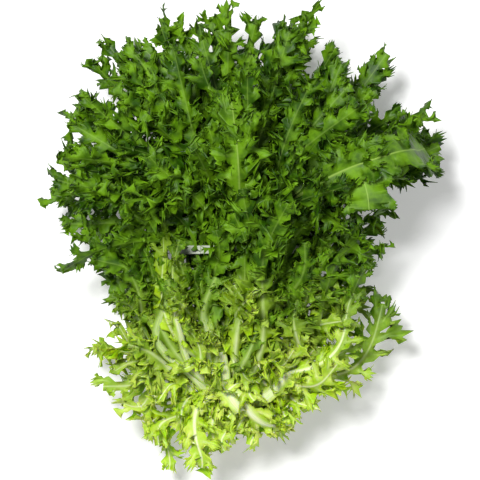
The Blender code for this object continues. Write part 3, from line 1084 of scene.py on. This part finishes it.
def face_leaves():
    for seed, (name, (kind, above, places)) in enumerate(FACE_LEAVES.items()):
        heap = leaf_corners()
        points = [CROWN_FACE + (0, 0, 0.5 * CROWN_RADIUS)]
        if places[0][1] > 0:
            points.append(TIE_MIDDLE + (0.3 * places[0][0] * MM, 0, 0.6 * (tie_high.z - TIE_MIDDLE[2])))
        height = points[-1][2]
        for x, y in places:
            x, y = TIE_MIDDLE[0] + x * MM, TIE_MIDDLE[1] + y * MM
            height = top_at(heap, x, y, 0.75 * height) + above * MM
            points.append(np.array((x, y, height)))
        grow_leaf(name, drawn_line(points), kind, 5000 + seed)
    return len(FACE_LEAVES)


print("face leaves", face_leaves())

# %% [markdown]
# ## The crown
#
# Under the leaves is the thick stub that they all grew from, cut off flat with a knife. Its side is
# stepped where the bases of older leaves were broken off, in the same spiral as the leaves above.
# An outline is spun round the axis, and the steps are pushed out of the fine mesh afterwards. The
# cut face is a little dished, because the soft heart of it dries and shrinks first.

# %% The crown's shape
CROWN_STEPS = 120
CROWN_RINGS = 34
SCARS = 26
SCAR_HEIGHT = 1.1 * MM
SCAR_LENGTH = 0.2  # as a share of the crown's length
SCAR_HALF_TURN = 0.75  # radians round the crown
SCAR_BOW = 0.05  # how much a scar's ends hang, per radian squared
DISH = ((0.0, 0.9), (0.45, 0.7), (0.8, 0.25))  # shares of the cut's radius, and mm deep there
CUT_EDGE = 0.7 * MM  # of the slope between the face and the side
GOLDEN_ANGLE = math.radians(137.508)
CUT_Y = crown_low.y
CROWN_CENTRE = np.array((crown_axis.x, 0.0, crown_axis.z))


def cad_radius(y):
    """The CAD crown's radius at y, from the corners of its rings."""
    corners = np.array([corner.co for corner in nodes["crown"].data.vertices])
    radii = np.hypot(corners[:, 0] - CROWN_CENTRE[0], corners[:, 2] - CROWN_CENTRE[2])
    outer = radii > 0.5 * radii.max()
    heights = np.round(corners[outer, 1], 5)
    rings = np.unique(heights)
    largest = np.array([radii[outer][heights == ring].max() for ring in rings])
    return np.interp(y, rings, largest)


def scar_push(angle, share):
    """How far the side stands out at that angle, from 0 at the cut to 1 at the leaves."""
    push = 0.0
    for i in range(SCARS):
        turn = (angle - i * GOLDEN_ANGLE + math.pi) % math.tau - math.pi
        above = share - (i + 0.5) / SCARS
        crescent = above + SCAR_BOW * turn**2
        if 0 < crescent < SCAR_LENGTH and abs(turn) < SCAR_HALF_TURN:
            push = max(push, (1 - crescent / SCAR_LENGTH) * (1 - (turn / SCAR_HALF_TURN) ** 2))
    return push


def crown_shape():
    outline = bmesh.new()
    ys = np.linspace(CUT_Y, CROWN_FACE[1], CROWN_RINGS)
    radii = cad_radius(ys)
    points = [(share * radii[0], CUT_Y + deep * MM) for share, deep in DISH]
    points.append((radii[0] - CUT_EDGE, CUT_Y))
    points += list(zip(radii[1:], ys[1:])) + [(0.0, CROWN_FACE[1])]
    corners = [outline.verts.new((CROWN_CENTRE[0] + r, y, CROWN_CENTRE[2])) for r, y in points]
    edges = [outline.edges.new(pair) for pair in zip(corners, corners[1:])]
    bmesh.ops.spin(
        outline,
        geom=corners + edges,
        cent=CROWN_CENTRE,
        axis=(0, 1, 0),
        dvec=(0, 0, 0),
        angle=math.tau,
        steps=CROWN_STEPS,
        use_merge=True,
    )
    bmesh.ops.remove_doubles(outline, verts=outline.verts, dist=WELD)
    for corner in outline.verts:
        x, z = corner.co.x - CROWN_CENTRE[0], corner.co.z - CROWN_CENTRE[2]
        share = (corner.co.y - CUT_Y) / (CROWN_FACE[1] - CUT_Y)
        radius = math.hypot(x, z)
        if 0.02 < share < 0.995 and radius > 0.5 * CROWN_RADIUS:
            push = SCAR_HEIGHT * (scar_push(math.atan2(z, x), share) - 0.6)
            corner.co.x += x / radius * push
            corner.co.z += z / radius * push
    bmesh.ops.recalc_face_normals(outline, faces=outline.faces)
    return mesh_of(outline, "cut_crown")


# %% [markdown]
# ## Crown tissue
#
# The stub is as white as the ribs inside, but it browns where it was cut and in scattered patches.
# Fine lines run round the cut face, because the stem grew in rings.


# %% The crown's finish
CROWN_WHITE = linear(226, 226, 178)
CROWN_YELLOW = linear(206, 210, 140)
CROWN_BROWN = linear(150, 112, 62)
BROWNED_DEPTH = 4 * MM  # how far up from the cut the brown reaches
RING_TURNS = 5200.0  # radians of rings to the metre


def crown_finish():
    made, tree, shader, place = new_finish("crown_tissue")
    centred = tree.nodes.new("ShaderNodeMapping")
    centred.vector_type = "POINT"
    centred.inputs["Location"].default_value = (-CROWN_CENTRE[0], -CUT_Y, -CROWN_CENTRE[2])
    wire(tree, place, centred.inputs["Vector"])
    split = tree.nodes.new("ShaderNodeSeparateXYZ")
    wire(tree, centred.outputs["Vector"], split.inputs[0])
    x2 = math_node(tree, "POWER", split.outputs["X"], 2.0)
    z2 = math_node(tree, "POWER", split.outputs["Z"], 2.0)
    radius = math_node(tree, "SQRT", math_node(tree, "ADD", x2, z2), 0.0)

    patches = noise(tree, place, 160.0, 4.0)
    fresh = mix_colour(tree, ramp_between(tree, patches, 0.35, 0.7), CROWN_WHITE, CROWN_YELLOW)
    near_cut = ramp_between(tree, split.outputs["Y"], BROWNED_DEPTH, 0.0)
    rim = ramp_between(tree, radius, 0.3 * CROWN_RADIUS, 0.75 * CROWN_RADIUS)
    browned = math_node(tree, "MULTIPLY", near_cut, times_plus(tree, rim, 0.5, 0.25))
    browned = times_plus(tree, ramp_between(tree, patches, 0.55, 0.8), 0.35, browned)
    wire(tree, mix_colour(tree, browned, fresh, CROWN_BROWN), shader.inputs["Base Color"])
    wire(tree, times_plus(tree, patches, 0.3, 0.4), shader.inputs["Roughness"])
    rings = math_node(tree, "SINE", math_node(tree, "MULTIPLY", radius, RING_TURNS), 0.0)
    grain = noise(tree, place, 700.0, 3.0)
    raise_bumps(tree, shader, times_plus(tree, rings, 0.12, grain), 0.4, 0.4 * MM)
    return made


def place_piece(name, mesh, finish, node):
    mesh.materials.append(finish)
    piece = put_in_scene(name, mesh)
    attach(piece, "root")
    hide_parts(node)
    return piece


crown = place_piece("cut_crown", crown_shape(), crown_finish(), "crown")
print("crown faces", len(crown.data.polygons))

# %% [markdown]
# ## The tie
#
# The bundle is held by a flat strip of thin, pale, slightly rough material, which closes with a
# lap on the upper left. It is a grid rolled to the oval of the bundle and given a thickness. The
# grid's steps let it sag between leaves and turn its edges up, as a strip does when it is pulled
# round something lumpy, and let the lap wander a little off the strip.

# %% The tie's shape
TIE_STEPS = 160
TIE_WIDTH = tie_high.y - tie_low.y
TIE_SHEET = 0.7 * MM
TIE_ROWS = 8
LAP = (math.radians(126), math.radians(176))
LAP_ROOM = 0.2 * MM  # between the lap and the strip under it
TURNED_UP = 0.25 * MM  # how far the strip's edges stand out
TIE_SAG = 0.3 * MM  # between the leaves that it passes over


def strip(name, first, last, proud):
    """A strip round the bundle from one azimuth to another, standing proud of its oval."""
    half_x = (tie_high.x - tie_low.x) / 2 - TIE_SHEET + proud
    half_z = (tie_high.z - tie_low.z) / 2 - TIE_SHEET + proud
    full = last - first > math.tau - 0.01
    columns = round(TIE_STEPS * (last - first) / math.tau)
    sheet = bmesh.new()
    bmesh.ops.create_grid(sheet, x_segments=columns, y_segments=TIE_ROWS, size=1)
    for corner in sheet.verts:
        angle = between(first, last, (corner.co.x + 1) / 2)
        side = corner.co.y
        wander = 0.35 * MM * math.sin(7 * angle + 1) + 0.2 * MM * math.sin(17 * angle)
        lift = TURNED_UP * side**2 * (1 + 0.6 * math.sin(9 * angle))
        sag = TIE_SAG * math.sin(13 * angle + 0.5)
        corner.co = (
            TIE_MIDDLE[0] + (half_x + lift + sag) * math.cos(angle),
            TIE_MIDDLE[1] + side * TIE_WIDTH / 2 + (0 if full else wander),
            TIE_MIDDLE[2] + (half_z + lift + sag) * math.sin(angle),
        )
    bmesh.ops.remove_doubles(sheet, verts=sheet.verts, dist=WELD)
    bmesh.ops.recalc_face_normals(sheet, faces=sheet.faces)
    return mesh_of(sheet, name)


def tie_finish():
    made, tree, shader, place = new_finish("pale_strip")
    patches = noise(tree, place, 90.0, 3.0)
    colour = mix_colour(tree, patches, linear(168, 176, 158), linear(192, 198, 180))
    wire(tree, colour, shader.inputs["Base Color"])
    stretched = tree.nodes.new("ShaderNodeMapping")
    stretched.inputs["Scale"].default_value = (0.15, 1.0, 0.15)
    wire(tree, place, stretched.inputs["Vector"])
    threads = noise(tree, stretched.outputs["Vector"], 2600.0, 2.0)
    wire(tree, times_plus(tree, threads, 0.25, 0.45), shader.inputs["Roughness"])
    raise_bumps(tree, shader, threads, 0.5, 0.2 * MM)
    return made


STRIP_FINISH = tie_finish()
for name, ends, proud in (("tie_strip", (0, math.tau), 0), ("tie_lap", LAP, TIE_SHEET + LAP_ROOM)):
    piece = place_piece(name, strip(name, *ends, proud), STRIP_FINISH, "tie_band")
    shell = piece.modifiers.new("thickness", "SOLIDIFY")
    shell.thickness = TIE_SHEET
    shell.offset = 1
    print(name, "faces", len(piece.data.polygons))

# %% [markdown]
# ## The floor, the light and the camera
#
# The head lies on a plain pale table under a soft lamp, and the camera looks straight down on it
# through a long lens, so that nothing is stretched towards the edges.

# %% Floor
FLOOR_SIZE = 16.0


def floor_finish():
    """Almost white, with a faint glow that lightens the shadow under the head."""
    made, tree, shader, place = new_finish("pale_floor")
    clouds = noise(tree, place, 3.0)
    colour = mix_colour(tree, clouds, linear(244, 244, 244), linear(250, 250, 250))
    wire(tree, colour, shader.inputs["Base Color"])
    shader.inputs["Roughness"].default_value = 0.8
    shader.inputs["Specular IOR Level"].default_value = 0.1
    shader.inputs["Emission Color"].default_value = (1, 1, 1, 1)
    shader.inputs["Emission Strength"].default_value = 0.2
    return made


table = bmesh.new()
bmesh.ops.create_grid(table, x_segments=1, y_segments=1, size=FLOOR_SIZE / 2)
table_mesh = mesh_of(table, "pale_floor")
table_mesh.materials.append(floor_finish())
floor = put_in_scene("pale_floor", table_mesh)


# %% Light
def lamp(name, place, size, power):
    data = bpy.data.lights.new(name, "AREA")
    data.shape = "DISK"
    data.size = size
    data.energy = power
    made = put_in_scene(name, data)
    made.location = place
    made.rotation_euler = (-Vector(place)).to_track_quat("-Z", "Y").to_euler()


lamp("key_lamp", (-0.4, 0.45, 1.7), 0.5, 36)
lamp("fill_lamp", (0.9, -0.5, 1.6), 1.2, 7)
world = bpy.data.worlds.new("studio")
world.use_nodes = True
world.node_tree.nodes["Background"].inputs["Color"].default_value = (1, 1, 1, 1)
world.node_tree.nodes["Background"].inputs["Strength"].default_value = 0.17
bpy.context.scene.world = world
bpy.context.scene.view_settings.view_transform = "Standard"

# %% Camera
VIEW_WIDTH = 345.6 * MM  # what the picture takes in at the height of the head's middle
CAMERA_HEIGHT = 2.4
CAMERA_ASIDE = -3.6 * MM  # so that the head sits a little right of the picture's middle
SENSOR = 36.0

camera_data = bpy.data.cameras.new("camera")
camera_data.sensor_width = SENSOR
aim_height = (cad_box[0][2] + cad_box[1][2]) / 2
camera_data.lens = SENSOR * (CAMERA_HEIGHT - aim_height) / VIEW_WIDTH
camera = put_in_scene("camera", camera_data)
camera.location = (CAMERA_ASIDE, 0, CAMERA_HEIGHT)
bpy.context.scene.camera = camera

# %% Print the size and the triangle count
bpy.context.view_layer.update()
print("CAD box", [[round(v / MM) for v in c] for c in cad_box])


def triangles():
    """How many triangles all visible pieces have, modifiers included."""
    graph = bpy.context.evaluated_depsgraph_get()
    pieces = [o for o in bpy.context.scene.objects if o.type == "MESH" and not o.hide_render]
    return sum(
        len(face.vertices) - 2 for o in pieces for face in o.evaluated_get(graph).data.polygons
    )


print("triangles", triangles())
